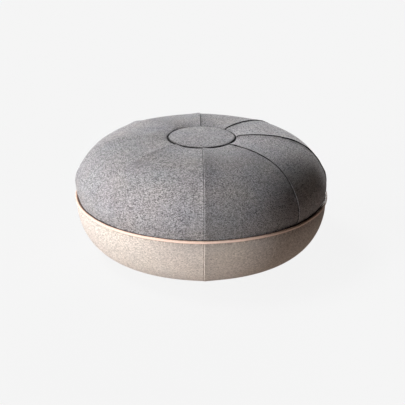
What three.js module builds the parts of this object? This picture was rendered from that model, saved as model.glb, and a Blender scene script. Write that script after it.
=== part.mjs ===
// A round floor pouf: a domed top cover of eight gores round a centre disc, and a lower cover of four side
// panels round a flat base disc. The two covers are sewn together through a leather piping. Each panel's solid
// holds the filling that lies under it, so the solids together are one filled cushion.
// Millimetres, +Z up. The origin is on the floor under the centre, and one seam of each cover faces -Y.
import * as THREE from "three";

// Driving dimensions
const SEAM_LEVEL = 115; // height of the piped seam above the floor
const GORE_COUNT = 8;
const LOWER_PANEL_COUNT = 4;
const CENTRE_DISC_RADIUS = 69.7;
const BASE_DISC_RADIUS = 150.2;
const PLAY = 0.3; // space between two neighbouring pieces
const RING_PLAY = 0.4; // space round a disc, whose outline has more corners than its neighbours'

// The piping: a leather strip folded round a cord, with its two raw edges sewn into the seam as a flange
const PIPING = { radius: 256.2, cordRadius: 3, flangeInnerRadius: 244, flangeThickness: 1.2 };
const PIPING_CORNER = { height: 1.2, reach: 22 }; // the piping's soft corner at each seam of the gores
const PIPING_STEPS = 96;
const CORD_STEPS = 9; // round the cord, from one side of its flange to the other

// A seam between two panels: both edges turn in and leave a groove with rounded lips, on a low broad ridge
const GROOVE = { depth: 3.6, halfWidth: 3.4 };
const RIDGE = { reach: 13, topHeight: 1.4, lowerHeight: 1.3 };
const SLACK = { top: 0.8, lower: 0.8 }; // how far the middle of a panel lies inside the round outline
const LIP_OFFSETS = [PLAY / 2, 0.9, 3.4, 9]; // distances from a seam of the outermost columns of a panel

// Meridians along a seam: r is the distance from the axis, h the height above the piped seam.
// The rows are the points that a smooth curve passes through.
const TOP_MERIDIAN = [
  { r: 256.6, h: 10 },
  { r: 258.6, h: 20 },
  { r: 258.4, h: 32 },
  { r: 255.2, h: 46 },
  { r: 248.6, h: 60 },
  { r: 237, h: 78 },
  { r: 219.4, h: 96 },
  { r: 196, h: 110 },
  { r: 169, h: 118.6 },
  { r: 143, h: 122.9 },
  { r: 117, h: 124.5 },
  { r: 95, h: 124.5 },
  { r: 79, h: 122.4 },
];
const LOWER_MERIDIAN = [
  { r: 256.4, h: -9.5 },
  { r: 257.6, h: -18 },
  { r: 255.8, h: -33 },
  { r: 248.6, h: -57 },
  { r: 235.2, h: -80.6 },
  { r: 216, h: -99.2 },
  { r: 191, h: -110.6 },
  { r: 167, h: -114.3 },
];
const TOP_ROWS = 14; // steps along the curve of a gore
const LOWER_ROWS = 10; // steps along the curve of a lower panel
const GORE_COLUMNS = 5; // columns of a gore between its lips
const LOWER_COLUMNS = 13; // columns of a lower panel between its lips

// The edge of a cover where it turns in above or below the piping, from the flange outwards
const PIPED_EDGE = [
  { r: 252.2, h: 0.9, share: 0 },
  { r: 253, h: 3.4, share: 0.2 },
  { r: 254.6, h: 6.4, share: 0.6 },
];
const FLANGE_POCKET = PIPING.flangeInnerRadius - PLAY; // the covers' filling is stepped back round the flange
const FILLING_FACE = PLAY / 2; // distance of each cover's filling from the plane of the piped seam

// The edge of a gore at the centre disc, and of a lower panel at the base disc
const GORE_DISC_EDGE = [
  { r: 73.2, h: 120.9, share: 0.8 },
  { r: 71, h: 119.6, share: 0.4 },
  { r: CENTRE_DISC_RADIUS + RING_PLAY / 2, h: 116.4, share: 0 },
];
const LOWER_DISC_EDGE = [
  { r: 154.4, h: -114.3, share: 0.6 },
  { r: 151.4, h: -113, share: 0.2 },
  { r: BASE_DISC_RADIUS + RING_PLAY / 2, h: -110.4, share: 0 },
];

// The discs' own outlines, from the rim of the face to its middle
const CENTRE_DISC_FACE = [
  { inset: 0, h: 116.4 },
  { inset: 0.9, h: 118.9 },
  { inset: 3.2, h: 120.3 },
  { inset: 14, h: 121.2 },
  { inset: 36, h: 122.6 },
];
const CENTRE_DISC_CROWN = 123.2; // height of the middle of the centre disc above the piped seam
const BASE_DISC_FACE = [
  { inset: 0, h: -110.4 },
  { inset: 0.9, h: -113.4 },
  { inset: 3.6, h: -115 },
];
const CENTRE_DISC_STEPS = 64;
const BASE_DISC_STEPS = 96;

const DEG = Math.PI / 180;

const GREY_TOP_CLOTH = new THREE.MeshStandardMaterial({ color: 0x8f8a8b, roughness: 0.92, metalness: 0 });
const SAND_CANVAS = new THREE.MeshStandardMaterial({ color: 0xcdbba8, roughness: 0.9, metalness: 0 });
const TAN_LEATHER = new THREE.MeshStandardMaterial({ color: 0xb98a70, roughness: 0.5, metalness: 0 });

// A point at an angle from -Y, counted towards +X.
function at(angle, r, h) {
  return new THREE.Vector3(r * Math.sin(angle), -r * Math.cos(angle), SEAM_LEVEL + h);
}

// A closed solid through equal sections: a ring when closed, and otherwise with a flat cap at each end.
// outline is the first section in two dimensions, from which the caps are cut.
function loft(sections, outline) {
  const size = sections[0].length;
  const faces = [];
  const spans = outline ? sections.length - 1 : sections.length;
  for (let s = 0; s < spans; s++) {
    const here = s * size;
    const next = ((s + 1) % sections.length) * size;
    for (let k = 0; k < size; k++) {
      const l = (k + 1) % size;
      faces.push([here + k, next + k, next + l], [here + k, next + l, here + l]);
    }
  }
  if (outline) {
    const last = (sections.length - 1) * size;
    const first = THREE.ShapeUtils.isClockWise(outline) ? last : 0;
    for (const [a, b, c] of THREE.ShapeUtils.triangulateShape(outline, [])) {
      faces.push([first + a, first + b, first + c], [last - first + a, last - first + c, last - first + b]);
    }
  }
  const points = sections.flat();
  const volume = faces.reduce((sum, [a, b, c]) => sum + points[a].dot(points[b].clone().cross(points[c])), 0);
  const index = volume > 0 ? faces.flat() : faces.flatMap(([a, b, c]) => [a, c, b]);
  const geometry = new THREE.BufferGeometry().setFromPoints(points);
  geometry.setIndex(index);
  geometry.computeVertexNormals();
  return geometry;
}

// The rows of a panel from the piped seam to its disc, each with the direction that faces out of the cover.
function panelRows(pipedEdge, meridian, steps, discEdge) {
  const curve = new THREE.SplineCurve(meridian.map(({ r, h }) => new THREE.Vector2(r, h)));
  const smooth = curve.getSpacedPoints(steps).map((p) => ({ r: p.x, h: p.y, share: 1 }));
  const rows = [...pipedEdge, ...smooth, ...discEdge];
  const upwards = Math.sign(meridian.at(-1).h);
  return rows.map((row, i) => {
    const before = rows[Math.max(i - 1, 0)];
    const after = rows[Math.min(i + 1, rows.length - 1)];
    const along = new THREE.Vector2(after.r - before.r, after.h - before.h).normalize();
    return { ...row, out: { r: along.y * upwards, h: -along.x * upwards } };
  });
}

// How far a cover's skin lies below the crest of the seam, at a distance from the seam.
function seamDrop(distance, ridgeHeight) {
  const across = Math.max(0, 1 - distance / GROOVE.halfWidth);
  const lip = GROOVE.depth * (1 - Math.sqrt(1 - across * across));
  const beyond = Math.max(0, distance - GROOVE.halfWidth);
  return lip + ridgeHeight * (1 - Math.exp(-beyond / RIDGE.reach));
}

// The columns of a panel: at each seam those of its lip, by distance, and between them those by fraction.
function panelColumns(between) {
  const lip = LIP_OFFSETS.map((offset) => ({ offset }));
  const middle = Array.from({ length: between }, (_, i) => ({ fraction: (i + 1) / (between + 1) }));
  return [...lip, ...middle, ...lip.map(({ offset }) => ({ offset, far: true })).reverse()];
}

// The angle of a column from the first seam of its panel, at a distance r from the axis.
function columnAngle(column, r, width) {
  if (column.fraction !== undefined) {
    const edge = Math.asin(LIP_OFFSETS.at(-1) / r);
    return edge + (width - 2 * edge) * column.fraction;
  }
  const angle = Math.asin(column.offset / r);
  return column.far ? width - angle : angle;
}

// One panel between two seams with the filling behind it, closed by the core: the points behind the skin.
function panel({ rows, columns, firstSeam, width, core, ridgeHeight, slack }) {
  const skinPoint = (row, column) => {
    const angle = columnAngle(column, row.r, width);
    const fromSeam = row.r * Math.sin(Math.min(angle, width - angle, Math.PI / 2));
    const sag = slack * Math.sin((Math.PI * angle) / width);
    const drop = row.share * (seamDrop(fromSeam, ridgeHeight) + sag);
    const r = row.r - row.out.r * drop;
    return { r, h: row.h - row.out.h * drop, angle: columnAngle(column, r, width) };
  };
  const corePoint = (point, column) => ({ ...point, angle: columnAngle(column, point.r, width) });
  const flat = columns.map((column) => [
    ...rows.map((row) => skinPoint(row, column)),
    ...core.map((point) => corePoint(point, column)),
  ]);
  const sections = flat.map((section) => section.map(({ r, h, angle }) => at(firstSeam + angle, r, h)));
  return loft(sections, flat[0].map(({ r, h }) => new THREE.Vector2(r, h)));
}

// The points behind a cover's skin, from the disc down or up to the seam and out to the flange.
function fillingCore(discRadius, side) {
  return [
    { r: discRadius + RING_PLAY / 2, h: side * FILLING_FACE },
    { r: FLANGE_POCKET, h: side * FILLING_FACE },
    { r: FLANGE_POCKET, h: side * PIPED_EDGE[0].h },
  ];
}

function gore(number) {
  const width = (360 / GORE_COUNT) * DEG;
  return panel({
    rows: panelRows(PIPED_EDGE, TOP_MERIDIAN, TOP_ROWS, GORE_DISC_EDGE),
    columns: panelColumns(GORE_COLUMNS),
    firstSeam: (number - 1) * width,
    width,
    core: fillingCore(CENTRE_DISC_RADIUS, 1),
    ridgeHeight: RIDGE.topHeight,
    slack: SLACK.top,
  });
}

function lowerPanel(number) {
  const width = (360 / LOWER_PANEL_COUNT) * DEG;
  const pipedEdge = PIPED_EDGE.map((row) => ({ ...row, h: -row.h }));
  return panel({
    rows: panelRows(pipedEdge, LOWER_MERIDIAN, LOWER_ROWS, LOWER_DISC_EDGE),
    columns: panelColumns(LOWER_COLUMNS),
    firstSeam: (number - 1) * width,
    width,
    core: fillingCore(BASE_DISC_RADIUS, -1),
    ridgeHeight: RIDGE.lowerHeight,
    slack: SLACK.lower,
  });
}

// A disc with the filling between its face and the plane of the piped seam, turned about the axis.
function disc(radius, face, middle, steps) {
  const side = Math.sign(middle);
  const rim = radius - RING_PLAY / 2;
  const outline = [
    new THREE.Vector2(0, side * FILLING_FACE),
    new THREE.Vector2(rim, side * FILLING_FACE),
    ...face.map(({ inset, h }) => new THREE.Vector2(rim - inset, h)),
    new THREE.Vector2(0, middle),
  ];
  const turned = new THREE.LatheGeometry(side > 0 ? outline : outline.reverse(), steps);
  return turned.rotateX(Math.PI / 2).translate(0, 0, SEAM_LEVEL);
}

function centreDisc() {
  return disc(CENTRE_DISC_RADIUS, CENTRE_DISC_FACE, CENTRE_DISC_CROWN, CENTRE_DISC_STEPS);
}

function baseDisc() {
  return disc(BASE_DISC_RADIUS, BASE_DISC_FACE, -SEAM_LEVEL, BASE_DISC_STEPS);
}

// The piping's radius at an angle: the cord stands out a little at each seam of the gores, as the ridges do.
function pipingRadius(angle) {
  const width = (360 / GORE_COUNT) * DEG;
  const fromSeam = Math.abs(((angle + width / 2) % width) - width / 2) * PIPING.radius;
  return PIPING.radius + PIPING_CORNER.height * Math.exp(-fromSeam / PIPING_CORNER.reach);
}

function piping() {
  const half = PIPING.flangeThickness / 2;
  const start = Math.PI - Math.asin(half / PIPING.cordRadius);
  const cord = Array.from({ length: CORD_STEPS + 1 }, (_, i) => {
    const turn = start - (2 * start * i) / CORD_STEPS;
    return { out: PIPING.cordRadius * Math.cos(turn), h: PIPING.cordRadius * Math.sin(turn) };
  });
  const sections = Array.from({ length: PIPING_STEPS }, (_, i) => {
    const angle = (2 * Math.PI * i) / PIPING_STEPS;
    const radius = pipingRadius(angle);
    return [
      at(angle, PIPING.flangeInnerRadius, half),
      ...cord.map(({ out, h }) => at(angle, radius + out, h)),
      at(angle, PIPING.flangeInnerRadius, -half),
    ];
  });
  return loft(sections);
}

function sewnPiece(name, geometry, material) {
  const mesh = new THREE.Mesh(geometry, material);
  mesh.name = name;
  return mesh;
}

const topCover = new THREE.Group();
topCover.add(sewnPiece("centre_disc", centreDisc(), GREY_TOP_CLOTH));
for (let number = 1; number <= GORE_COUNT; number++) {
  topCover.add(sewnPiece(`gore_${number}`, gore(number), GREY_TOP_CLOTH));
}

const lowerCover = new THREE.Group();
lowerCover.add(sewnPiece("base_disc", baseDisc(), SAND_CANVAS));
for (let number = 1; number <= LOWER_PANEL_COUNT; number++) {
  lowerCover.add(sewnPiece(`lower_panel_${number}`, lowerPanel(number), SAND_CANVAS));
}

const floorPouf = new THREE.Group();
floorPouf.add(topCover, sewnPiece("piping", piping(), TAN_LEATHER), lowerCover);

export default floorPouf;
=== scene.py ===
import math

import bpy
import numpy as np
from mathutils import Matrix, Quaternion, Vector


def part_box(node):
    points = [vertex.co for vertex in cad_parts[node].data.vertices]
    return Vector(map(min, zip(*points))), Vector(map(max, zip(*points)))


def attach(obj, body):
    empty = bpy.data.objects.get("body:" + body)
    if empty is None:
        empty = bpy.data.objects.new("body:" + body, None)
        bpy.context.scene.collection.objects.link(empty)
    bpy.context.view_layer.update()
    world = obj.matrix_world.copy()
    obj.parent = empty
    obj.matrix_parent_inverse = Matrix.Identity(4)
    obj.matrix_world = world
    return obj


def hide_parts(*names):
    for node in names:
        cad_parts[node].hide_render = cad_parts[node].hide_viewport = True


# A round floor pouf: eight gores of grey melange wool round a centre disc, a lower cover of sand canvas,
# and a leather piping between them. Metres, +Z up, the origin on the floor under the centre, as in the
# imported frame. An angle is counted from -Y towards +X, and a height from the plane of the piped seam.
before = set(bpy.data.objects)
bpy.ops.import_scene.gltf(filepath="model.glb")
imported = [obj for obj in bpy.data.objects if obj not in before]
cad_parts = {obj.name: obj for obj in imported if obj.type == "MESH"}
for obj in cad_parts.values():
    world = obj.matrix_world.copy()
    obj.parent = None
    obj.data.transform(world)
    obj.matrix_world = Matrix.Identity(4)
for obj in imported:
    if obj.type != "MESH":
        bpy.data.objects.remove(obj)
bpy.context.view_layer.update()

# The covers' main sizes, taken from the frame
SEAM_LEVEL = sum(corner[2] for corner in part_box("piping")) / 2
GORE_COUNT = 8
LOWER_PANEL_COUNT = 4
PLAY = 0.0003  # space between two neighbouring pieces
RING_PLAY = 0.0004  # space round a disc
CENTRE_DISC_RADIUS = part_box("centre_disc")[1][0] + RING_PLAY / 2
BASE_DISC_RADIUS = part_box("base_disc")[1][0] + RING_PLAY / 2
PIPING_RADIUS = 0.2562
PIPING_CORD_RADIUS = 0.003
PIPING_FLANGE_INNER_RADIUS = 0.244
PIPING_FLANGE_THICKNESS = 0.0012
PIPING_CORNER = {"height": 0.0012, "reach": 0.022}
PIPING_SWAY = {"outwards": 0.00018, "up": 0.00022, "plumper": 0.00008}
PIPING_WAVES = {"fewest": 3, "most": 39}
FLANGE_POCKET = PIPING_FLANGE_INNER_RADIUS - PLAY
FILLING_FACE = PLAY / 2

# A seam between two panels: both edges turn in and leave a narrow groove, on a low broad ridge. The seam
# allowances are pressed to one side, so the panel after the seam stands a little higher there than the
# panel before it
GROOVE = {"depth": 0.0016, "half_width": 0.0014}
RIDGE_REACH = 0.013
ALLOWANCE = {"width": 0.002, "fade": 0.022}
LOWER_SIDE_STRETCH = 2.5  # how much sooner the painted shade beside a seam ends on its lower side
# Lower down, near the piping, the cloth is taut and the seams' grooves are more open, so the painted shade
# beside them is narrower there
OPEN_CREASE = {"share": 0.4, "from_height": 0.05, "to_height": 0.1}
# The filling has slumped a little where the top cover faces right
SLUMP = {"depth": 0.0024, "azimuth": math.radians(105), "from_height": 0.02, "to_height": 0.06}

# Each cover from the piped seam to its disc: radius, height above the piped seam, and share of the seam's
# relief. Each panel's tone is painted light and shade, standing in for how much light the pile of its cloth
# returns, from the panel at the right of the front seam. The widths at each panel's first seam say how wide
# the painted shade along the sewing is there, and "shade_at_piping" how much wider it is beside the piping
TOP_COVER = {
    "count": GORE_COUNT, "side": 1,
    "disc_radius": CENTRE_DISC_RADIUS,
    "ridge": 0.0014, "slack": 0.0008, "allowance": 0.0015,
    "painted_lighting": [0.86, 1.02, 1.13, 1.0, 1.0, 1.15, 1.05, 1.03],
    "crease": [0.35, 1.2, 2.0, 1.2, 1.0, 0.5, 0.3, 0.3],
    "shade_at_piping": 1.25,
    "profile": [
        (0.2522, 0.0009, 0.0), (0.2530, 0.0034, 0.2), (0.2546, 0.0064, 0.6),
        (0.2566, 0.0100, 1.0), (0.2586, 0.0200, 1.0), (0.2584, 0.0320, 1.0),
        (0.2552, 0.0460, 1.0), (0.2486, 0.0600, 1.0), (0.2370, 0.0780, 1.0),
        (0.2194, 0.0960, 1.0), (0.1960, 0.1100, 1.0), (0.1690, 0.1186, 1.0),
        (0.1430, 0.1229, 1.0), (0.1170, 0.1245, 1.0), (0.0950, 0.1244, 1.0),
        (0.0790, 0.1231, 1.0), (0.0732, 0.1217, 0.8), (0.0709, 0.1199, 0.4),
        (0.0699, 0.1164, 0.0),
    ],
}
LOWER_COVER = {
    "count": LOWER_PANEL_COUNT, "side": -1,
    "disc_radius": BASE_DISC_RADIUS,
    "ridge": 0.0013, "slack": 0.0008, "allowance": 0.0007,
    # Each panel's tone is painted light and shade, and the painted shade along the sewing is widest under the
    # piping
    "painted_lighting": [0.93, 1.0, 1.0, 1.11],
    "crease": [1.2, 1.2, 1.2, 1.2],
    "shade_at_piping": 11.0,
    "profile": [
        (0.2522, -0.0009, 0.0), (0.2530, -0.0034, 0.2), (0.2546, -0.0064, 0.6),
        (0.2564, -0.0095, 1.0), (0.2576, -0.0180, 1.0), (0.2558, -0.0330, 1.0),
        (0.2486, -0.0570, 1.0), (0.2352, -0.0806, 1.0), (0.2160, -0.0992, 1.0),
        (0.1910, -0.1106, 1.0), (0.1670, -0.1143, 1.0), (0.1544, -0.1143, 0.6),
        (0.1514, -0.1130, 0.2), (0.1504, -0.1104, 0.0),
    ],
}
# The discs' faces, from the rim inwards: inset and height
CENTRE_DISC_FACE = [
    (0.0, 0.1164), (0.0003, 0.1180), (0.0009, 0.1194),
    (0.0019, 0.1206), (0.0032, 0.1213), (0.0140, 0.1223),
    (0.0360, 0.1235),
]
CENTRE_DISC_CROWN = 0.1240
# The centre disc's painted light: a little lighter, as its pile returns more light
CENTRE_DISC_PAINTED_LIGHTING = 1.05
# A disc's grain line lies 15 degrees off the front, and its place on the cloth is apart from the panels'
DISC_GRAIN_TURN = [(0.966, -0.259, 0), (0.259, 0.966, 0), (0, 0, 0)]
DISC_CLOTH_PLACE = (0.3, 0.4, 0.11)
DISC_SHADE_SHARE = 0.6  # the painted shade is wider on the disc than on the gores round it
BASE_DISC_FACE = [(0.0, -0.1104), (0.0009, -0.1134), (0.0036, -SEAM_LEVEL)]
DISC_CORNER = {"height": 0.0009, "reach": 0.011}  # the disc's outline has a soft corner at each seam
CORNER_FADE = 0.02  # how far from the disc a gore's end still follows those corners
FAR_FROM_SEWING = 0.1  # so far off that no painted shade or painted highlight of the sewing reaches there
PANEL_CLOTH_APART = 0.37  # keeps the grain of one panel from going on in the next

# How finely the covers are meshed
LIP_OFFSETS = [0.00015, 0.0003, 0.0005, 0.0008, 0.0011, 0.0015, 0.0022, 0.0032, 0.0047, 0.0070, 0.0100]
COLUMN_SPACING = 0.0042
ROW_SPACING = {"edge": 0.0006, "middle": 0.0028, "reach": 0.012}
CURVE_STEPS = 4000
PIPING_STEPS = 560
PIPING_SIDES = 22
DISC_RINGS = 12
DISC_CURVE_STEPS = 4
CENTRE_DISC_STEPS = 256
BASE_DISC_STEPS = 192
SEED = 7


# Shapes


def at(angle, r, h):
    """Points at angles from -Y, at radii r and heights h over the piped seam."""
    return np.stack(np.broadcast_arrays(r * np.sin(angle), -r * np.cos(angle), SEAM_LEVEL + h), axis=-1)


def smooth_curve(points, per_span=24):
    """A dense smooth curve through the given points, with per_span steps between every two of them."""
    points = np.array(points, float)
    padded = np.vstack([2 * points[0] - points[1], points, 2 * points[-1] - points[-2]])
    knots = np.concatenate([[0], np.cumsum(np.linalg.norm(np.diff(padded[:, :2], axis=0), axis=1) ** 0.5)])
    pieces = []
    for i in range(1, len(padded) - 2):
        t = np.linspace(knots[i], knots[i + 1], per_span, endpoint=False)[:, None]
        p, k = padded[i - 1 : i + 3], knots[i - 1 : i + 3]
        level = [((k[j + 1] - t) * p[j] + (t - k[j]) * p[j + 1]) / (k[j + 1] - k[j]) for j in range(3)]
        level = [
            ((k[j + 2] - t) * level[j] + (t - k[j]) * level[j + 1]) / (k[j + 2] - k[j]) for j in range(2)
        ]
        pieces.append(((k[2] - t) * level[0] + (t - k[1]) * level[1]) / (k[2] - k[1]))
    return np.vstack(pieces + [points[-1:]])


def graded(length, spacing):
    """Distances from 0 to length, close together near both ends and further apart between."""
    s = np.linspace(0, length, CURVE_STEPS)
    from_end = np.minimum(s, length - s)
    openness = 1 - np.exp(-from_end / spacing["reach"])
    step = spacing["edge"] + (spacing["middle"] - spacing["edge"]) * openness
    count = np.concatenate([[0], np.cumsum(np.diff(s) / ((step[1:] + step[:-1]) / 2))])
    return np.interp(np.linspace(0, count[-1], round(count[-1]) + 1), count, s)


def cover_rows(cover, distances=None):
    """The rows of a cover from the piped seam to its disc: distance along the cloth, radius, height, share
    of the seam's relief, the direction out of the cover, and how fast the radius grows towards the piped
    seam."""
    curve = smooth_curve(cover["profile"])
    along = np.concatenate([[0], np.cumsum(np.hypot(*np.diff(curve[:, :2], axis=0).T))])
    if distances is None:
        distances = graded(along[-1], ROW_SPACING)
    r, h, share = (np.interp(distances, along, curve[:, k]) for k in range(3))
    slope_r, slope_h = (np.interp(distances, along, np.gradient(curve[:, k], along)) for k in range(2))
    length = np.hypot(slope_r, slope_h)
    out_r, out_h = cover["side"] * slope_h / length, -cover["side"] * slope_r / length
    return {
        "length": along[-1], "along": distances, "r": r, "h": h, "share": np.clip(share, 0, 1),
        "out_r": out_r, "out_h": out_h, "growth": -slope_r / length,
    }


def seam_drop(distance, cover, raised):
    """How far the skin lies below the crest of a seam, at a distance from it. The raised side lies on the
    allowances."""
    across = np.clip(1 - distance / GROOVE["half_width"], 0, 1)
    on_allowance = np.where(raised, cover["allowance"], 0.0)
    lip = (GROOVE["depth"] + on_allowance) * (1 - np.sqrt(1 - across**2))
    beyond = np.clip(distance - GROOVE["half_width"], 0, None)
    fading = np.clip((distance - ALLOWANCE["width"]) / ALLOWANCE["fade"], 0, 1)
    rise = (on_allowance - cover["allowance"] / 2) * (1 - fading**2 * (3 - 2 * fading))
    return lip + cover["ridge"] * (1 - np.exp(-beyond / RIDGE_REACH)) - rise


def corner_rise(angle, radius, corner):
    """How far a round outline stands out at an angle, with a soft corner at each seam of the gores."""
    width = 2 * math.pi / GORE_COUNT
    from_seam = np.abs((angle + width / 2) % width - width / 2) * radius
    return corner["height"] * np.exp(-from_seam / corner["reach"])


def loft(sections, closed):
    """Quads between equal closed sections, one after the other, and a cap at each end unless the loft is
    closed."""
    count, size = sections.shape[:2]
    spans = count if closed else count - 1
    here = np.arange(spans)[:, None] * size
    after = (np.arange(spans)[:, None] + 1) % count * size
    point = np.arange(size)[None, :]
    beside = (point + 1) % size
    corners = [here + point, here + beside, after + beside, after + point]
    faces = np.stack(corners, axis=-1).reshape(-1, 4).tolist()
    if not closed:
        faces.append(list(range(size))[::-1])
        faces.append([(count - 1) * size + i for i in range(size)])
    return faces


def facing_out(points, faces):
    """The faces of a closed body, all turned over if they face inwards."""
    fans = [(face[0], face[i], face[i + 1]) for face in faces for i in range(1, len(face) - 1)]
    a, b, c = points[np.array(fans)].transpose(1, 0, 2)
    volume = (a * np.cross(b, c)).sum()
    return faces if volume > 0 else [face[::-1] for face in faces]


def piece(name, points, faces, skin, cloth, sewn, material, painted_lighting=1.0):
    """A mesh object from points and faces. skin says which faces are the visible, smooth ones. cloth gives
    each point's place on the flat cut, and sewn its distances from the nearest side seam, the piping and
    the disc."""
    points = points.reshape(-1, 3)
    mesh = bpy.data.meshes.new(name)
    mesh.from_pydata(points.tolist(), [], facing_out(points, faces))
    mesh.polygons.foreach_set("use_smooth", skin)
    for label, values in (("cloth", cloth), ("sewn", sewn)):
        layer = mesh.attributes.new(label, "FLOAT_VECTOR", "POINT")
        layer.data.foreach_set("vector", np.ascontiguousarray(values, dtype=np.float32).ravel())
    layer = mesh.attributes.new("painted_lighting", "FLOAT", "POINT")
    layer.data.foreach_set("value", np.full(len(points), painted_lighting, np.float32))
    mesh.materials.append(material)
    mesh.validate()
    mesh.update()
    made = bpy.data.objects.new(name, mesh)
    bpy.context.collection.objects.link(made)
    return made


def panel_angles(r, width):
    """The angles of a panel's columns at each row, from its first seam: lips by distance, the rest by
    fraction."""
    offsets = np.array(LIP_OFFSETS)
    between = round(PIPING_RADIUS * width / COLUMN_SPACING) - 2
    fractions = (np.arange(between) + 1) / (between + 1)
    lip = np.arcsin(offsets[:, None] / r[None, :])
    edge = lip[-1]
    middle = edge + (width - 2 * edge) * fractions[:, None]
    return np.vstack([lip, middle, (width - lip)[::-1]])


def flat_cut(angle, rows, width, number):
    """Where each point lay on the panel's flat cut: across the grain line, along it, and one more number
    that sets each panel's cloth apart. A straight weft thread sags towards the piping beside a seam, as on
    a real gore."""
    turn = angle - width / 2
    bend = turn * rows["growth"]
    across = rows["r"] * turn * np.sinc(bend / math.pi)
    drop = rows["r"] * turn * np.tan(bend / 2) * np.sinc(bend / math.pi)
    along = rows["length"] - rows["along"] - drop
    return np.stack([across, along, np.full_like(across, number * PANEL_CLOTH_APART)], axis=-1)


def panel_skin(cover, first, width, rows, angle, from_seam, relief):
    """The radius and height of each point of a panel's skin: its seams, slack and relief, and on a gore the
    soft corners round the centre disc."""
    slack = cover["slack"] * np.sin(math.pi * angle / width)
    drop = seam_drop(from_seam, cover, angle < width / 2) + slack
    drop = rows["share"] * (drop - relief(first + angle, rows, from_seam))
    r = rows["r"] - rows["out_r"] * drop
    h = np.maximum(rows["h"] - rows["out_h"] * drop, -SEAM_LEVEL)
    if cover["side"] > 0:
        nearness = np.exp(-(rows["length"] - rows["along"]) / CORNER_FADE)
        turned_in = corner_rise(first + angle, CENTRE_DISC_RADIUS, DISC_CORNER) - DISC_CORNER["height"]
        r = r + nearness * turned_in
    return r, h


def panel_sewing(cover, number, width, rows, angle, from_seam):
    """How far each point of a panel's skin lies from its side seams, the piping and the disc, as the painted
    shade beside the sewing sees it: where that shade is wider, a point counts as nearer."""
    own, following = cover["crease"][number - 1], cover["crease"][number % cover["count"]]
    crease = np.where(angle < width / 2, own, following / LOWER_SIDE_STRETCH)
    heights = [OPEN_CREASE["from_height"], OPEN_CREASE["to_height"]]
    closed = np.interp(np.abs(rows["h"]), heights, [OPEN_CREASE["share"], 1])
    sewn = np.empty(angle.shape + (3,))
    sewn[..., 0] = from_seam / (crease * closed)
    # Nearer the piping, so the painted shade beside it reaches further
    sewn[..., 1] = rows["along"] / cover["shade_at_piping"]
    sewn[..., 2] = rows["length"] - rows["along"]
    return sewn


def panel(name, cover, number, relief, material):
    """One panel between two seams with the filling behind it, closed by the plain faces behind the skin."""
    rows = cover_rows(cover)
    width = 2 * math.pi / cover["count"]
    first = (number - 1) * width
    angle = panel_angles(rows["r"], width)
    inner = np.minimum(angle, width - angle)
    from_seam = rows["r"] * np.sin(np.minimum(inner, math.pi / 2))
    r, h = panel_skin(cover, first, width, rows, angle, from_seam, relief)
    core = np.array([
        (cover["disc_radius"] + RING_PLAY / 2, cover["side"] * FILLING_FACE),
        (FLANGE_POCKET, cover["side"] * FILLING_FACE),
        (FLANGE_POCKET, cover["profile"][0][1]),
    ])
    core_r, core_h = core.T
    core_angle = panel_angles(core_r, width)
    core_points = at(first + core_angle, core_r, np.broadcast_to(core_h, core_angle.shape))
    sections = np.concatenate([at(first + angle, r, h), core_points], axis=1)
    columns, size = sections.shape[:2]
    skin_size = r.shape[1]
    faces = loft(sections, closed=False)
    on_skin = [i % size < skin_size - 1 for i in range((columns - 1) * size)] + [False, False]
    cloth = np.zeros((columns, size, 3))
    cloth[:, :skin_size] = flat_cut(angle, rows, width, number)
    sewn = np.zeros((columns, size, 3))
    sewn[:, :skin_size] = panel_sewing(cover, number, width, rows, angle, from_seam)
    return piece(name, sections, faces, on_skin, cloth, sewn, material, cover["painted_lighting"][number - 1])


def disc_rows(radius, face, middle):
    """A disc's radii and heights, from the plane of the piped seam up its rim and inwards to near the
    middle."""
    rim = radius - RING_PLAY / 2
    side = 1 if middle > 0 else -1
    last_r = rim - face[-1][0]
    last_h = face[-1][1]
    shares = [k / DISC_RINGS for k in range(DISC_RINGS - 1, 0, -1)]
    inner = [(last_r * share, last_h + (middle - last_h) * (1 - share**2)) for share in shares]
    outer = smooth_curve([(rim - inset, h, 0) for inset, h in face], DISC_CURVE_STEPS)[:, :2].tolist()
    return np.array([(rim, side * FILLING_FACE)] + outer + inner).T


def disc_faces(steps, size):
    """The faces between a disc's radial rows of points, the fan round its middle, and the fan behind. skin
    says which of them are seen."""
    crown, behind = steps * size, steps * size + 1
    faces = []
    skin = []
    for i in range(steps):
        here, beside = i * size, (i + 1) % steps * size
        for k in range(size - 1):
            faces.append([here + k, beside + k, beside + k + 1, here + k + 1])
            skin.append(k > 0)
        faces.append([here + size - 1, beside + size - 1, crown])
        skin.append(True)
        faces.append([beside, here, behind])
        skin.append(False)
    return faces, skin


def disc(name, radius, face, middle, corner, steps, material, painted_lighting=1.0):
    """A disc with the filling between its face and the plane of the piped seam."""
    r, h = disc_rows(radius, face, middle)
    angle = np.arange(steps) * 2 * math.pi / steps
    turned_in = corner_rise(angle, radius, corner) - corner["height"] if corner else np.zeros(steps)
    ring_r = r[None, :] + turned_in[:, None] * (r[None, :] / r[0])
    grid = at(angle[:, None], ring_r, np.broadcast_to(h, ring_r.shape))
    ends = [at(0.0, 0.0, middle), at(0.0, 0.0, h[0])]
    points = np.vstack([grid.reshape(-1, 3), ends])
    faces, skin = disc_faces(steps, len(r))
    cloth = points @ np.array(DISC_GRAIN_TURN).T + DISC_CLOTH_PLACE
    sewn = np.full((len(points), 3), FAR_FROM_SEWING)
    from_rim = np.concatenate([[0, 0], np.cumsum(np.hypot(np.diff(r[1:]), np.diff(h[1:])))])
    # Distance from the rim, for the painted shade round the disc
    sewn[:-2, 2] = np.tile(from_rim, steps) * DISC_SHADE_SHARE
    return piece(name, points, faces, skin, cloth, sewn, material, painted_lighting)


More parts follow.
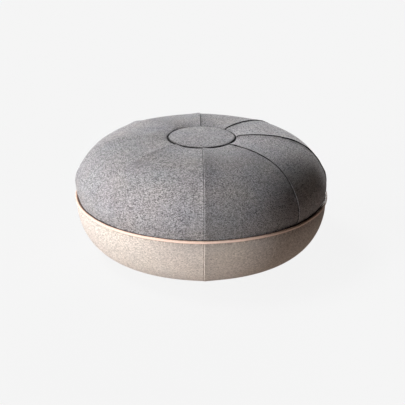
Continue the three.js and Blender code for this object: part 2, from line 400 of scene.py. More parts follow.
def piping(name, material):
    """The leather strip round its cord, a closed ring with the sewn flange inside, a little uneven as
    hand-laid."""
    half = PIPING_FLANGE_THICKNESS / 2
    start = math.pi - math.asin(half / PIPING_CORD_RADIUS)
    turn = np.linspace(start, -start, PIPING_SIDES)
    angle = np.arange(PIPING_STEPS) * 2 * math.pi / PIPING_STEPS
    draw = np.random.default_rng(SEED)
    sway_r, sway_h, plump = (ring_noise(draw, angle, size) for size in PIPING_SWAY.values())
    radius = PIPING_RADIUS + corner_rise(angle, PIPING_RADIUS, PIPING_CORNER) + sway_r
    cord = PIPING_CORD_RADIUS + plump
    cord_r = radius[:, None] + cord[:, None] * np.cos(turn)
    cord_h = sway_h[:, None] + cord[:, None] * np.sin(turn)
    flange = np.full((PIPING_STEPS, 1), PIPING_FLANGE_INNER_RADIUS)
    r = np.hstack([flange, cord_r, flange])
    h = np.hstack([flange * 0 + half, cord_h, flange * 0 - half])
    sections = at(angle[:, None], r, h)
    faces = loft(sections, closed=True)
    size = PIPING_SIDES + 2
    skin = [0 < i % size < size - 2 for i in range(len(faces))]
    cloth = np.zeros(r.shape + (3,))
    cloth[..., 0] = angle[:, None] * PIPING_RADIUS
    cloth[:, 1:-1, 1] = turn * PIPING_CORD_RADIUS
    sewn = np.full(r.shape + (3,), FAR_FROM_SEWING)
    sewn[..., 0] = 0
    # Distance along the cord from the flange, for the painted shade on its flanks and the painted highlight
    # on its crest
    sewn[:, 1:-1, 0] = (start - np.abs(turn)) * PIPING_CORD_RADIUS
    return piece(name, sections, faces, skin, cloth, sewn, material)


def ring_noise(draw, angle, size):
    """A smooth closed wave of random strength round the axis, about size high."""
    total = np.zeros_like(angle)
    for waves in range(PIPING_WAVES["fewest"], PIPING_WAVES["most"] + 1):
        total += draw.normal() / waves**0.5 * np.sin(waves * angle + draw.uniform(0, 2 * math.pi))
    return total / np.abs(total).max() * size


# The filling's push, by cloth simulation

SHELL = {"columns": 192, "top_rows": 34, "lower_rows": 24, "unevenness": 0.00015}
ON_SEAM = 1e-4  # a point of the shell this near a seam is sewn down
ON_FLOOR = -0.1135  # a point of the lower cover below this height lies on the floor
# The cloth of the shell, pressed by the filling. shrink_max is how much longer it is than its seams
SHELL_CLOTH = {
    "quality": 6, "mass": 0.4,
    "tension_stiffness": 18, "compression_stiffness": 18, "shear_stiffness": 6, "bending_stiffness": 1.5,
    "use_pressure": True, "uniform_pressure_force": 4.0,
    "shrink_min": 0.0, "shrink_max": -0.022,
}
# The share of the spare cloth that there is everywhere, and how near the seams the rest of it is
SPARE_CLOTH = {"everywhere": 0.25, "reach": 0.02}
SETTLE_FRAMES = 20
MOVE_LIMIT = 0.0011  # the settled skin stays this near its solid
SETTLED_SHARE = 0.8  # how much of the settled shape the panels take on
SETTLED_FROM = 0.004  # the settled shape fades out this near a seam


def shell_rings():
    """The two covers as one coarse shell, ring by ring: its points, the directions out of it, the distances
    from the seams, and which points the sewing and the floor hold."""
    columns = SHELL["columns"]
    angle = np.arange(columns) * 2 * math.pi / columns
    rings = []
    held = []
    draw = np.random.default_rng(SEED + 1)
    for cover, count in ((TOP_COVER, SHELL["top_rows"]), (LOWER_COVER, SHELL["lower_rows"])):
        length = cover_rows(cover)["length"]
        rows = cover_rows(cover, np.linspace(0, length, count))
        width = 2 * math.pi / cover["count"]
        inner = np.abs((angle + width / 2) % width - width / 2)
        from_seam = rows["r"][:, None] * np.sin(np.minimum(inner, math.pi / 2))
        drop = cover["ridge"] * (1 - np.exp(-from_seam / RIDGE_REACH))
        drop = drop + cover["slack"] * np.sin(math.pi * (inner / width))
        uneven = draw.uniform(-SHELL["unevenness"], SHELL["unevenness"], drop.shape)
        drop = rows["share"][:, None] * drop + uneven
        r = rows["r"][:, None] - rows["out_r"][:, None] * drop
        h = rows["h"][:, None] - rows["out_h"][:, None] * drop
        out_r = rows["out_r"][:, None] * np.ones(columns)
        out = at(angle[None, :], out_r, rows["out_h"][:, None] - SEAM_LEVEL)
        pinned = from_seam < ON_SEAM
        pinned[0] = pinned[-1] = True
        if cover["side"] < 0:
            pinned = pinned | (h < ON_FLOOR)
        rings.append((at(angle[None, :], r, h), out, from_seam))
        held.append(pinned)
    return rings, held


def settling_shell(grid, from_seam, pinned):
    """The shell as a mesh object with a point in the middle of each end, and groups of its points:
    sewn_down for those that are held, and spare_cloth for how much longer the cloth is there."""
    count, columns = grid.shape[:2]
    ends = [[0, 0, SEAM_LEVEL + CENTRE_DISC_CROWN], [0, 0, 0]]
    points = np.vstack([grid.reshape(-1, 3), ends])
    top_end, low_end = count * columns, count * columns + 1
    last_row = (count - 1) * columns
    faces = []
    for row in range(0, last_row, columns):
        below = row + columns
        for k in range(columns):
            beside = (k + 1) % columns
            faces.append([row + k, below + k, below + beside, row + beside])
    for k in range(columns):
        beside = (k + 1) % columns
        faces.append([top_end, k, beside])
        faces.append([low_end, last_row + beside, last_row + k])
    mesh = bpy.data.meshes.new("settling_shell")
    mesh.from_pydata(points.tolist(), [], faces)
    shell = bpy.data.objects.new("settling_shell", mesh)
    bpy.context.collection.objects.link(shell)
    hold = shell.vertex_groups.new(name="sewn_down")
    hold.add(np.flatnonzero(pinned.ravel()).tolist() + [top_end, low_end], 1.0, "REPLACE")
    spare = shell.vertex_groups.new(name="spare_cloth")
    least = SPARE_CLOTH["everywhere"]
    for i, distance in enumerate(from_seam.ravel()):
        spare.add([i], least + (1 - least) * math.exp(-distance / SPARE_CLOTH["reach"]), "REPLACE")
    return shell, points


def fill_shell(shell):
    """Makes the shell a cloth that the filling presses from inside, without gravity."""
    cloth = shell.modifiers.new("filling", "CLOTH")
    for name, value in SHELL_CLOTH.items():
        setattr(cloth.settings, name, value)
    cloth.settings.vertex_group_mass = "sewn_down"
    cloth.settings.vertex_group_shrink = "spare_cloth"
    cloth.settings.effector_weights.gravity = 0
    cloth.collision_settings.use_collision = False
    cloth.point_cache.frame_end = SETTLE_FRAMES


def settled_points(shell, count):
    """Where the shell's points lie when the filling has pressed for all the frames."""
    scene = bpy.context.scene
    for number in range(1, SETTLE_FRAMES + 1):
        scene.frame_set(number)
    seen = shell.evaluated_get(bpy.context.evaluated_depsgraph_get()).data
    settled = np.empty(count * 3, np.float32)
    seen.vertices.foreach_get("co", settled)
    scene.frame_set(1)
    return settled.reshape(-1, 3)


def settle_covers():
    """Lets the filling press the cloth outwards between the seams that hold it, with a little spare cloth
    beside them, and gives each cover's relief on a grid of rows and columns."""
    (top, low), held = shell_rings()
    grid, out, from_seam = (np.vstack([upper[::-1], lower[1:]]) for upper, lower in zip(top, low))
    pinned = np.vstack([held[0][::-1], held[1][1:]])
    shell, points = settling_shell(grid, from_seam, pinned)
    fill_shell(shell)
    settled = settled_points(shell, len(points))
    mesh = shell.data
    bpy.data.objects.remove(shell)
    bpy.data.meshes.remove(mesh)
    move = (settled - points)[: pinned.size].reshape(grid.shape)
    lift = np.clip((move * out).sum(axis=2), -MOVE_LIMIT, MOVE_LIMIT)
    lift[pinned] = 0
    return lift[: SHELL["top_rows"]][::-1], lift[SHELL["top_rows"] - 1 :]


def cubic_weights(t):
    """The weights of four neighbours in a row for a smooth value at a fraction t between the middle two."""
    return np.stack(
        [
            -0.5 * t + t**2 - 0.5 * t**3,
            1 - 2.5 * t**2 + 1.5 * t**3,
            0.5 * t + 2 * t**2 - 1.5 * t**3,
            -0.5 * t**2 + 0.5 * t**3,
        ]
    )


def sample_ring_grid(grid, row, column):
    """Smooth values between the points of a grid whose columns go round and close."""
    row_base = np.floor(row).astype(int)
    column_base = np.floor(column).astype(int)
    row_weights = cubic_weights(row - row_base)
    column_weights = cubic_weights(column - column_base)
    total = np.zeros(np.broadcast(row, column).shape)
    for i in range(4):
        rows = np.clip(row_base + i - 1, 0, len(grid) - 1)
        for j in range(4):
            columns = (column_base + j - 1) % grid.shape[1]
            total += row_weights[i] * column_weights[j] * grid[rows, columns]
    return total


PUCKER = {"height": 0.00022, "pitch": 0.011, "reach": 0.007, "count": 80}


def slump(angle, rows):
    """How far the top cover has sunk where the filling has slumped."""
    facing = np.clip(np.cos(angle - SLUMP["azimuth"]), 0, 1) ** 2
    height = np.clip((rows["h"] - SLUMP["from_height"]) / (SLUMP["to_height"] - SLUMP["from_height"]), 0, 1)
    steepness = np.clip(rows["out_r"], 0, 1) * height
    return SLUMP["depth"] * facing * steepness


def relief_of(cover, lift, seed):
    """The relief of a cover's skin: the settled shape, the slump, and the small puckers that the sewing
    draws in."""
    draw = np.random.default_rng(seed)
    wave = draw.normal(size=(cover["count"] * 2, PUCKER["count"]))

    def relief(angle, rows, from_seam):
        row = rows["along"] / rows["length"] * (len(lift) - 1)
        column = angle / (2 * math.pi) * lift.shape[1]
        settled = sample_ring_grid(lift, np.broadcast_to(row, column.shape), column)
        settled = settled * SETTLED_SHARE * (1 - np.exp(-from_seam / SETTLED_FROM))
        seam = np.floor(angle / (math.pi / cover["count"])).astype(int) % len(wave)
        along = rows["along"] / PUCKER["pitch"]
        base = np.floor(along).astype(int)
        weights = cubic_weights(along - base)
        last = PUCKER["count"] - 1
        pucker = sum(weights[j] * wave[seam, np.clip(base + j - 1, 0, last)] for j in range(4))
        drawn_in = PUCKER["height"] * pucker * np.exp(-from_seam / PUCKER["reach"])
        return settled - slump(angle, rows) + drawn_in

    return relief


# Materials: small helpers for the node trees


def node(tree, kind, inputs=None, **settings):
    """A shader node with its settings, its inputs fed by values or by other nodes' sockets."""
    made = tree.nodes.new("ShaderNode" + kind)
    for name, value in settings.items():
        setattr(made, name, value)
    for key, value in (inputs or {}).items():
        socket = made.inputs[key]
        if isinstance(value, bpy.types.NodeSocket):
            tree.links.new(value, socket)
        else:
            socket.default_value = value
    return made


def maths(tree, operation, *values):
    return node(tree, "Math", dict(enumerate(values)), operation=operation).outputs[0]


def mix_values(tree, factor, a, b):
    made = node(tree, "Mix", {0: factor, 2: a, 3: b}, data_type="FLOAT")
    return made.outputs[0]


def mix_colours(tree, factor, a, b, blend="MIX"):
    made = node(tree, "Mix", {0: factor, 6: a, 7: b}, data_type="RGBA", blend_type=blend)
    return made.outputs[2]


def remap(tree, value, low, high, to_low=0.0, to_high=1.0, smooth=False):
    settings = {"interpolation_type": "SMOOTHSTEP"} if smooth else {}
    made = node(tree, "MapRange", {0: value, 1: low, 2: high, 3: to_low, 4: to_high}, **settings)
    return made.outputs[0]


def new_group(name, places, values, outputs, kind="Float"):
    """An empty node group with named inputs, for places and single values, and named outputs of one kind."""
    group = bpy.data.node_groups.new(name, "ShaderNodeTree")
    new_socket = group.interface.new_socket
    for label in places:
        new_socket(label, in_out="INPUT", socket_type="NodeSocketVector")
    for label, value in values.items():
        new_socket(label, in_out="INPUT", socket_type="NodeSocketFloat").default_value = value
    for label in outputs:
        new_socket(label, in_out="OUTPUT", socket_type="NodeSocket" + kind)
    return group, group.nodes.new("NodeGroupInput").outputs, group.nodes.new("NodeGroupOutput").inputs


# Of each thread: how its path wavers, how much it dips where it crosses another, how fast its tone changes
# along it, and how much of its tone comes from its fibres
THREAD = {"waver_scale": 160.0, "dip": 0.45, "tone_run": 90.0, "fibre_share": 0.85, "apart": 7.31}


def woven_threads():
    """A plain weave: bumps of warp and weft in turn, and each thread's own tone."""
    tree, given, result = new_group(
        "woven_threads", ["Cloth"], {"Warp Pitch": 0.001, "Weft Pitch": 0.001, "Sway": 0.3},
        ["Height", "Tone"],
    )
    sway = node(tree, "TexNoise", {"Vector": given["Cloth"], "Scale": THREAD["waver_scale"], "Detail": 2.0})
    shifted = node(tree, "VectorMath", {0: sway.outputs["Color"], 1: (0.5, 0.5, 0.5)}, operation="SUBTRACT")
    place = node(tree, "SeparateXYZ", {0: given["Cloth"]}).outputs
    drift = node(tree, "SeparateXYZ", {0: shifted.outputs[0]}).outputs
    u = maths(tree, "DIVIDE", place[0], given["Warp Pitch"])
    u = maths(tree, "ADD", u, maths(tree, "MULTIPLY", drift[0], given["Sway"]))
    v = maths(tree, "DIVIDE", place[1], given["Weft Pitch"])
    v = maths(tree, "ADD", v, maths(tree, "MULTIPLY", drift[1], given["Sway"]))
    thread_u, thread_v = maths(tree, "FLOOR", u), maths(tree, "FLOOR", v)
    round_u = maths(tree, "SINE", maths(tree, "MULTIPLY", maths(tree, "FRACT", u), math.pi))
    round_v = maths(tree, "SINE", maths(tree, "MULTIPLY", maths(tree, "FRACT", v), math.pi))
    over = maths(tree, "FLOORED_MODULO", maths(tree, "ADD", thread_u, thread_v), 2.0)
    dip = THREAD["dip"]
    warp = maths(tree, "MULTIPLY", round_u, maths(tree, "MULTIPLY_ADD", round_v, dip, 1 - dip))
    weft = maths(tree, "MULTIPLY", round_v, maths(tree, "MULTIPLY_ADD", round_u, dip, 1 - dip))
    tree.links.new(mix_values(tree, over, warp, weft), result["Height"])
    tones = []
    run = THREAD["tone_run"]
    for thread, seed, stretch in ((thread_u, 3.7, (0.0, run, 1.0)), (thread_v, 8.1, (run, 0.0, 1.0))):
        own = node(tree, "TexWhiteNoise", {"W": maths(tree, "ADD", thread, seed)}, noise_dimensions="1D")
        spread = node(tree, "VectorMath", {0: given["Cloth"], 1: stretch}, operation="MULTIPLY")
        offset = node(tree, "CombineXYZ", {2: maths(tree, "MULTIPLY", thread, THREAD["apart"])})
        spot = node(tree, "VectorMath", {0: spread.outputs[0], 1: offset.outputs[0]}, operation="ADD")
        fibre = node(tree, "TexNoise", {"Vector": spot.outputs[0], "Scale": 1.0, "Detail": 2.0})
        tones.append(mix_values(tree, THREAD["fibre_share"], own.outputs["Value"], fibre.outputs[0]))
    tree.links.new(mix_values(tree, over, tones[0], tones[1]), result["Tone"])
    return tree


FLECK_LAYERS_APART = 40.0
FLECK_NOISE = (0.28, 0.72)  # the part of the noise that the flecks use


def yarn_flecks():
    """Lighter and darker flecks that lie along the weft, with fewer along the warp, from -1 to 1."""
    tree, given, result = new_group(
        "yarn_flecks", ["Cloth"], {"Fleck Length": 0.01, "Fleck Thickness": 0.002, "Warp Share": 0.3},
        ["Fleck"],
    )
    layers = []
    for along_weft in (True, False):
        long_way = maths(tree, "DIVIDE", 1.0, given["Fleck Length"])
        short_way = maths(tree, "DIVIDE", 1.0, given["Fleck Thickness"])
        pair = (long_way, short_way) if along_weft else (short_way, long_way)
        scale = node(tree, "CombineXYZ", {0: pair[0], 1: pair[1], 2: FLECK_LAYERS_APART})
        spot = node(tree, "VectorMath", {0: given["Cloth"], 1: scale.outputs[0]}, operation="MULTIPLY")
        noise = node(tree, "TexNoise", {
            "Vector": spot.outputs[0], "Scale": 1.0, "Detail": 3.0, "Roughness": 0.7,
        })
        layers.append(remap(tree, noise.outputs[0], *FLECK_NOISE, -1.0, 1.0))
    tree.links.new(mix_values(tree, given["Warp Share"], layers[0], layers[1]), result["Fleck"])
    return tree


DRIFT_NOISE = (0.3, 0.7)
GREEN_SHARE = 0.6  # how much less the dye drifts towards green than towards red


def dye_drift():
    """Slow changes of depth and hue over the whole piece, as in dyed yarn: a colour to multiply with."""
    tree, given, result = new_group(
        "dye_drift", ["Place"], {"Patch Size": 0.08, "Drift Depth": 0.05, "Drift Hue": 0.02},
        ["Colour"], "Color",
    )
    scale = maths(tree, "DIVIDE", 1.0, given["Patch Size"])
    noise = node(tree, "TexNoise", {
        "Vector": given["Place"], "Scale": scale, "Detail": 3.0, "Roughness": 0.55,
    })
    parts = node(tree, "SeparateXYZ", {0: noise.outputs["Color"]}).outputs
    depth = remap(tree, noise.outputs[0], *DRIFT_NOISE, -1.0, 1.0)
    shade = maths(tree, "MULTIPLY_ADD", depth, given["Drift Depth"], 1.0)
    warm = maths(tree, "MULTIPLY", remap(tree, parts[0], *DRIFT_NOISE, -1.0, 1.0), given["Drift Hue"])
    towards_green = remap(tree, parts[1], *DRIFT_NOISE, -GREEN_SHARE, GREEN_SHARE)
    green = maths(tree, "MULTIPLY", towards_green, given["Drift Hue"])
    red = maths(tree, "MULTIPLY", shade, maths(tree, "ADD", 1.0, warm))
    mid = maths(tree, "MULTIPLY", shade, maths(tree, "ADD", 1.0, green))
    blue = maths(tree, "MULTIPLY", shade, maths(tree, "SUBTRACT", 1.0, warm))
    colour = node(tree, "CombineColor", {0: red, 1: mid, 2: blue})
    tree.links.new(colour.outputs[0], result["Colour"])
    return tree


def sewn_edges():
    """Masks from the distances to the sewing: the painted shade beside the sewing, and the painted highlight
    on the lips of the side seams."""
    tree, given, result = new_group(
        "sewn_edges", ["Sewn"],
        {"Crease Width": 0.0016, "Lip Width": 0.005, "Ring Scale": 1.0, "Crease Core": 0.0},
        ["Crease", "Lip", "Nearness"],
    )
    parts = node(tree, "SeparateXYZ", {0: given["Sewn"]}).outputs
    from_ring = maths(tree, "DIVIDE", parts[2], given["Ring Scale"])
    nearest = maths(tree, "MINIMUM", maths(tree, "MINIMUM", parts[0], parts[1]), from_ring)
    # Painted shade beside the sewing: full in its core, fading out at its width
    core = maths(tree, "MULTIPLY", given["Crease Width"], given["Crease Core"])
    crease = remap(tree, nearest, core, given["Crease Width"], 1.0, 0.0, smooth=True)
    # A painted highlight on the lips of the side seams, just beyond the painted shade
    far = remap(tree, parts[0], given["Crease Width"], given["Lip Width"], 1.0, 0.0, smooth=True)
    lip = maths(tree, "MULTIPLY", far, maths(tree, "SUBTRACT", 1.0, crease))
    tree.links.new(crease, result["Crease"])
    tree.links.new(lip, result["Lip"])
    tree.links.new(nearest, result["Nearness"])
    return tree


EFFECTS = {build.__name__: build() for build in (woven_threads, yarn_flecks, dye_drift, sewn_edges)}


def new_material(name):
    """A material with an empty tree but for its output and its Principled shader."""
    material = bpy.data.materials.new(name)
    material.use_nodes = True
    tree = material.node_tree
    tree.nodes.clear()
    output = tree.nodes.new("ShaderNodeOutputMaterial")
    shader = tree.nodes.new("ShaderNodeBsdfPrincipled")
    tree.links.new(shader.outputs[0], output.inputs[0])
    return material, tree, shader


def piece_values(tree):
    """What a finish reads from its piece: the place on the flat cut, the distances to the sewing, the piece's
    painted light and shade, and the place on the whole pouf."""
    return {
        "cloth": node(tree, "Attribute", attribute_name="cloth").outputs["Vector"],
        "sewn": node(tree, "Attribute", attribute_name="sewn").outputs["Vector"],
        "painted_lighting": node(tree, "Attribute", attribute_name="painted_lighting").outputs["Fac"],
        "place": node(tree, "TexCoord").outputs["Object"],
    }


def use_effect(tree, name, look, given):
    """An effect's group in a material. Its inputs take what has the same name in the piece or in the look."""
    made = tree.nodes.new("ShaderNodeGroup")
    made.node_tree = EFFECTS[name]
    for socket in made.inputs:
        key = socket.name.lower().replace(" ", "_")
        if key in given:
            tree.links.new(given[key], socket)
        elif key in look:
            socket.default_value = look[key]
    return made.outputs


def drifted(tree, look, given, colour):
    """The colour with the slow drift of its dye."""
    drift = use_effect(tree, "dye_drift", look, given)["Colour"]
    return mix_colours(tree, 1.0, colour, drift, "MULTIPLY")


def with_painted_crease_shade(tree, look, edges, colour):
    """The colour with painted shade beside the sewing, where the seams' grooves, the piping's overhang and
    the cord's flanks are in shade.
    """
    crease = maths(tree, "MULTIPLY", edges["Crease"], look["crease_share"])
    return mix_colours(tree, crease, colour, look["crease"])


def give_surface(tree, shader, look, colour, rough, height):
    """Feeds the shader its colour, roughness and relief."""
    bump = node(tree, "Bump", {"Strength": look["bump"], "Distance": 1.0, "Height": height})
    tree.links.new(colour, shader.inputs["Base Color"])
    tree.links.new(rough, shader.inputs["Roughness"])
    tree.links.new(bump.outputs[0], shader.inputs["Normal"])
    shader.inputs["Specular IOR Level"].default_value = look["specular"]


GAP_HEIGHT = 0.6  # a thread's surface below this share of its height is shaded as a gap
THREAD_POLISH = 0.08  # how much smoother the crowns of the threads are
SHEEN_ROUGHNESS = 0.5


def cloth_colour(tree, look, given, weave, flecks):
    """The colour of a woven cloth: melange yarn with its flecks, dark gaps between the threads, the panel's
    painted light and shade, the dye's drift, the painted highlight on its seams' lips and the painted shade
    beside its sewing."""
    edges = use_effect(tree, "sewn_edges", look, given)
    tone = maths(tree, "MULTIPLY_ADD", flecks, look["fleck_depth"], 0.5)
    depth = look["thread_depth"]
    thread_tone = maths(tree, "MULTIPLY_ADD", weave["Tone"], depth, -0.5 * depth)
    tone = node(tree, "Clamp", {0: maths(tree, "ADD", tone, thread_tone)}).outputs[0]
    colour = mix_colours(tree, tone, look["dark"], look["light"])
    gap = remap(tree, weave["Height"], 0.0, GAP_HEIGHT, look["gap_shade"], 1.0)
    # Dark gaps between the threads, then the panel's painted light and shade
    for shade in (gap, given["painted_lighting"]):
        shade_colour = node(tree, "CombineColor", {0: shade, 1: shade, 2: shade}).outputs[0]
        colour = mix_colours(tree, 1.0, colour, shade_colour, "MULTIPLY")
    colour = drifted(tree, look, given, colour)
    # A painted highlight on the seams' lips, where the light catches their edges
    lip = maths(tree, "MULTIPLY", edges["Lip"], look["lip_share"])
    colour = mix_colours(tree, lip, colour, look["lip"])
    return with_painted_crease_shade(tree, look, edges, colour)


def cloth_relief(tree, look, given, weave, flecks):
    """The height of a woven cloth: its threads, the fuzz on them, and the slubs."""
    fuzz = node(tree, "TexNoise", {"Vector": given["cloth"], "Scale": look["fuzz_scale"], "Detail": 3.0})
    threads = maths(tree, "MULTIPLY", weave["Height"], look["thread_height"])
    height = maths(tree, "ADD", threads, maths(tree, "MULTIPLY", fuzz.outputs[0], look["fuzz_height"]))
    return maths(tree, "ADD", height, maths(tree, "MULTIPLY", flecks, look["slub_height"]))


def woven_cloth(name, look):
    """A woven cloth, matt, with a faint sheen."""
    material, tree, shader = new_material(name)
    given = piece_values(tree)
    weave = use_effect(tree, "woven_threads", look, given)
    flecks = use_effect(tree, "yarn_flecks", look, given)["Fleck"]
    colour = cloth_colour(tree, look, given, weave, flecks)
    rough = maths(tree, "MULTIPLY_ADD", weave["Height"], -THREAD_POLISH, look["roughness"])
    height = cloth_relief(tree, look, given, weave, flecks)
    give_surface(tree, shader, look, colour, rough, height)
    shader.inputs["Sheen Weight"].default_value = look["sheen"]
    shader.inputs["Sheen Roughness"].default_value = SHEEN_ROUGHNESS
    shader.inputs["Sheen Tint"].default_value = look["sheen_tint"]
    return material


# Its lighter seam colour is a painted highlight on the seams' lips. Its near-black one is painted shade in
# the seams' grooves, above the piping and round the centre disc, where ring_scale widens it
GREY_MELANGE = {
    "dark": (0.085, 0.081, 0.086, 1), "light": (0.57, 0.55, 0.563, 1),
    "lip": (0.52, 0.50, 0.51, 1), "crease": (0.012, 0.011, 0.012, 1), "lip_share": 0.15, "crease_share": 1.0,
    "warp_pitch": 0.0015, "weft_pitch": 0.0014, "sway": 0.5,
    "fleck_length": 0.0028, "fleck_thickness": 0.0011, "warp_share": 0.25, "fleck_depth": 1.3,
    "thread_depth": 1.2, "gap_shade": 0.6, "patch_size": 0.06, "drift_depth": 0.03, "drift_hue": 0.03,
    "crease_width": 0.0014, "crease_core": 0.45, "lip_width": 0.0036, "ring_scale": 3.3,
    "roughness": 0.95, "fuzz_scale": 900.0,
    "thread_height": 0.00030, "fuzz_height": 0.00014, "slub_height": 0.00014, "bump": 1.0,
    "specular": 0.2, "sheen": 0.12, "sheen_tint": (0.8, 0.8, 0.82, 1),
}
# Its lighter seam colour is a painted highlight on the seams' lips. Its darkest one is painted shade in the
# seams' grooves and in a band under the piping
SAND_CANVAS = {
    "dark": (0.41, 0.36, 0.325, 1), "light": (0.82, 0.737, 0.672, 1),
    "lip": (0.92, 0.82, 0.74, 1), "crease": (0.07, 0.055, 0.045, 1), "lip_share": 0.5, "crease_share": 0.75,
    "warp_pitch": 0.0013, "weft_pitch": 0.0013, "sway": 0.35,
    "fleck_length": 0.0046, "fleck_thickness": 0.0018, "warp_share": 0.4, "fleck_depth": 1.4,
    "thread_depth": 1.0, "gap_shade": 0.8, "patch_size": 0.09, "drift_depth": 0.03, "drift_hue": 0.015,
    "crease_width": 0.0006, "crease_core": 0.0, "lip_width": 0.0024, "ring_scale": 1.0,
    "roughness": 0.9, "fuzz_scale": 1200.0,
    "thread_height": 0.00028, "fuzz_height": 0.00010, "slub_height": 0.00034, "bump": 1.0,
    "specular": 0.25, "sheen": 0.05, "sheen_tint": (0.9, 0.85, 0.8, 1),
}
# Its lightest colour is a painted highlight along the cord's crest, and its darkest is painted shade on the
# cord's flanks beside the flange
TAN_LEATHER = {
    "hollow": (0.66, 0.45, 0.36, 1), "raised": (0.82, 0.60, 0.50, 1),
    "worn": (0.95, 0.73, 0.63, 1), "worn_from_to": (0.0055, 0.0088), "worn_share": 0.8,
    "crease": (0.10, 0.045, 0.03, 1), "crease_width": 0.0062, "crease_core": 0.5, "crease_share": 0.8,
    "patch_size": 0.03, "drift_depth": 0.06, "drift_hue": 0.02,
    "pore_scale": 1500.0, "pore_height": 0.00005, "fold_height": 0.00006,
    "fold_scale": (420.0, 90.0, 1.0), "fold_noise": (0.35, 0.65),
    "roughness": 0.6, "polish": 0.1, "bump": 0.6, "specular": 0.25,
}


def tan_leather(name, look):
    """Vegetable-tanned leather: fine pores, small folds across the cord, painted shade on its flanks, and a
    polished crest with a painted highlight.
    """
    material, tree, shader = new_material(name)
    given = piece_values(tree)
    edges = use_effect(tree, "sewn_edges", look, given)
    pores = node(tree, "TexVoronoi", {
        "Vector": given["cloth"], "Scale": look["pore_scale"], "Randomness": 1.0,
    })
    stretched = node(tree, "VectorMath", {0: given["cloth"], 1: look["fold_scale"]}, operation="MULTIPLY")
    folds = node(tree, "TexNoise", {"Vector": stretched.outputs[0], "Scale": 1.0, "Detail": 3.0})
    fold = remap(tree, folds.outputs[0], *look["fold_noise"])
    colour = drifted(tree, look, given, mix_colours(tree, fold, look["hollow"], look["raised"]))
    # A painted highlight along the cord's crest, where the low lamps catch it
    worn = remap(tree, edges["Nearness"], *look["worn_from_to"], 0.0, look["worn_share"], smooth=True)
    colour = mix_colours(tree, worn, colour, look["worn"])
    colour = with_painted_crease_shade(tree, look, edges, colour)
    rough = maths(tree, "MULTIPLY_ADD", fold, -look["polish"], look["roughness"])
    pore_height = maths(tree, "MULTIPLY", pores.outputs["Distance"], look["pore_height"])
    height = maths(tree, "ADD", pore_height, maths(tree, "MULTIPLY", fold, look["fold_height"]))
    give_surface(tree, shader, look, colour, rough, height)
    return material


# Stage, light and camera

BACKDROP = (0.905, 0.905, 0.905, 1)
FLOOR_HALF = 12.0
# Soft boxes as far lamps: two low ones behind the pouf, two low ones at its left front, and two higher on
# its left. The azimuth is counted from -Y towards +X, and the angle is how wide the lamp looks from the
# pouf
LAMPS = {
    "back_low": {"azimuth": 165, "elevation": 3, "angle": 15, "strength": 2.25},
    "back_strip": {"azimuth": 174, "elevation": 10, "angle": 15, "strength": 1.5},
    "left_front_low": {"azimuth": -54, "elevation": 3, "angle": 15, "strength": 3.15},
    "left_front": {"azimuth": -60, "elevation": 10, "angle": 15, "strength": 1.55},
    "left_middle": {"azimuth": -75, "elevation": 35, "angle": 20, "strength": 0.9},
    "left_high": {"azimuth": -112, "elevation": 55, "angle": 20, "strength": 1.9},
}
FLOOR_TONE = 0.04
# What the floor gives off: the light that reaches the pouf from below, and what the camera sees
FLOOR_BOUNCE = (0.32, 0.262, 0.228, 1)
FLOOR_SEEN = (0.875, 0.875, 0.875, 1)


def pale_floor():
    """A pale studio floor: even to the camera, and a faint warm light on the pouf from below."""
    material, tree, shader = new_material("pale_floor")
    seen = node(tree, "LightPath").outputs["Is Camera Ray"]
    shader.inputs["Base Color"].default_value = (FLOOR_TONE, FLOOR_TONE, FLOOR_TONE, 1)
    shader.inputs["Roughness"].default_value = 1.0
    shader.inputs["Specular IOR Level"].default_value = 0.0
    shader.inputs["Emission Strength"].default_value = 1.0
    tree.links.new(mix_colours(tree, seen, FLOOR_BOUNCE, FLOOR_SEEN), shader.inputs["Emission Color"])
    return material


def lay_floor():
    mesh = bpy.data.meshes.new("studio_floor")
    half = FLOOR_HALF
    corners = [(-half, -half, 0), (half, -half, 0), (half, half, 0), (-half, half, 0)]
    mesh.from_pydata(corners, [], [(0, 1, 2, 3)])
    mesh.materials.append(pale_floor())
    floor = bpy.data.objects.new("studio_floor", mesh)
    bpy.context.collection.objects.link(floor)


def direction(azimuth, elevation):
    """The direction in which something lies, seen from the pouf, at an azimuth and an elevation in
    degrees."""
    turn, rise = math.radians(azimuth), math.radians(elevation)
    level = math.cos(rise)
    return Vector((math.sin(turn) * level, -math.cos(turn) * level, math.sin(rise)))


def soft_sun(name, look):
    """A very large, far and soft lamp."""
    lamp = bpy.data.lights.new(name, "SUN")
    lamp.energy = look["strength"]
    lamp.angle = math.radians(look["angle"])
    made = bpy.data.objects.new(name, lamp)
    made.rotation_mode = "QUATERNION"
    towards = direction(look["azimuth"], look["elevation"])
    made.rotation_quaternion = towards.to_track_quat("Z", "Y")
    bpy.context.collection.objects.link(made)


def studio_air():
    """An even pale backdrop that only the camera sees, so that all the light comes from the lamps and the
    floor."""
    world = bpy.data.worlds.new("studio_air")
    world.use_nodes = True
    tree = world.node_tree
    tree.nodes.clear()
    seen = node(tree, "LightPath").outputs["Is Camera Ray"]
    light = node(tree, "Background", {"Color": BACKDROP, "Strength": seen})
    output = tree.nodes.new("ShaderNodeOutputWorld")
    tree.links.new(light.outputs[0], output.inputs[0])
    bpy.context.scene.world = world


CAMERA = {
    "azimuth": -1.25, "elevation": 21.3105, "distance": 2.2459, "roll": 0.226, "lens": 96.28, "sensor": 36,
}
AIM_BELOW_SEAM = 0.0232
AIM_TO_THE_RIGHT = 0.0024


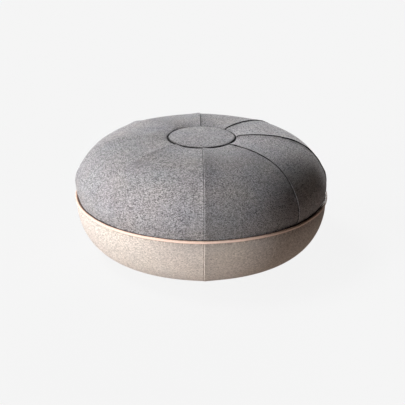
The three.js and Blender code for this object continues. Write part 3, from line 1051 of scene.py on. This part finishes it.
def place_camera():
    """The camera that took the photo, fitted to the outline of the pouf in it."""
    middle = Vector((0, 0, SEAM_LEVEL))
    azimuth = math.radians(CAMERA["azimuth"])
    to_the_right = Vector((math.cos(azimuth), math.sin(azimuth), 0))
    aim = middle - Vector((0, 0, AIM_BELOW_SEAM)) + to_the_right * AIM_TO_THE_RIGHT
    lens = bpy.data.cameras.new("camera")
    lens.lens = CAMERA["lens"]
    lens.sensor_width = CAMERA["sensor"]
    camera = bpy.data.objects.new("camera", lens)
    camera.location = middle + direction(CAMERA["azimuth"], CAMERA["elevation"]) * CAMERA["distance"]
    camera.rotation_mode = "QUATERNION"
    look = (aim - camera.location).to_track_quat("-Z", "Y")
    camera.rotation_quaternion = look @ Quaternion((0, 0, 1), math.radians(CAMERA["roll"]))
    bpy.context.collection.objects.link(camera)
    bpy.context.scene.camera = camera


def sewn_in(made, cad_node):
    """The piece rides on the pouf's one body and stands for its solid."""
    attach(made, "root")
    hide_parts(cad_node)


def build_pouf():
    top_lift, low_lift = settle_covers()
    wool = woven_cloth("grey_melange_wool", GREY_MELANGE)
    canvas = woven_cloth("sand_canvas", SAND_CANVAS)
    leather = tan_leather("tan_leather", TAN_LEATHER)
    top_relief = relief_of(TOP_COVER, top_lift, SEED + 2)
    for number in range(1, GORE_COUNT + 1):
        gore = panel(f"top_gore_cloth_{number}", TOP_COVER, number, top_relief, wool)
        sewn_in(gore, f"gore_{number}")
    low_relief = relief_of(LOWER_COVER, low_lift, SEED + 3)
    for number in range(1, LOWER_PANEL_COUNT + 1):
        side = panel(f"lower_panel_canvas_{number}", LOWER_COVER, number, low_relief, canvas)
        sewn_in(side, f"lower_panel_{number}")
    centre = disc("centre_disc_cloth", CENTRE_DISC_RADIUS, CENTRE_DISC_FACE, CENTRE_DISC_CROWN, DISC_CORNER,
                  CENTRE_DISC_STEPS, wool, CENTRE_DISC_PAINTED_LIGHTING)
    sewn_in(centre, "centre_disc")
    base = disc("base_disc_canvas", BASE_DISC_RADIUS, BASE_DISC_FACE, -SEAM_LEVEL, None,
                BASE_DISC_STEPS, canvas)
    sewn_in(base, "base_disc")
    ring = piping("piping_leather", leather)
    sewn_in(ring, "piping")


bpy.context.scene.view_settings.view_transform = "Standard"
build_pouf()
lay_floor()
studio_air()
for lamp_name, lamp_look in LAMPS.items():
    soft_sun(lamp_name, lamp_look)
place_camera()
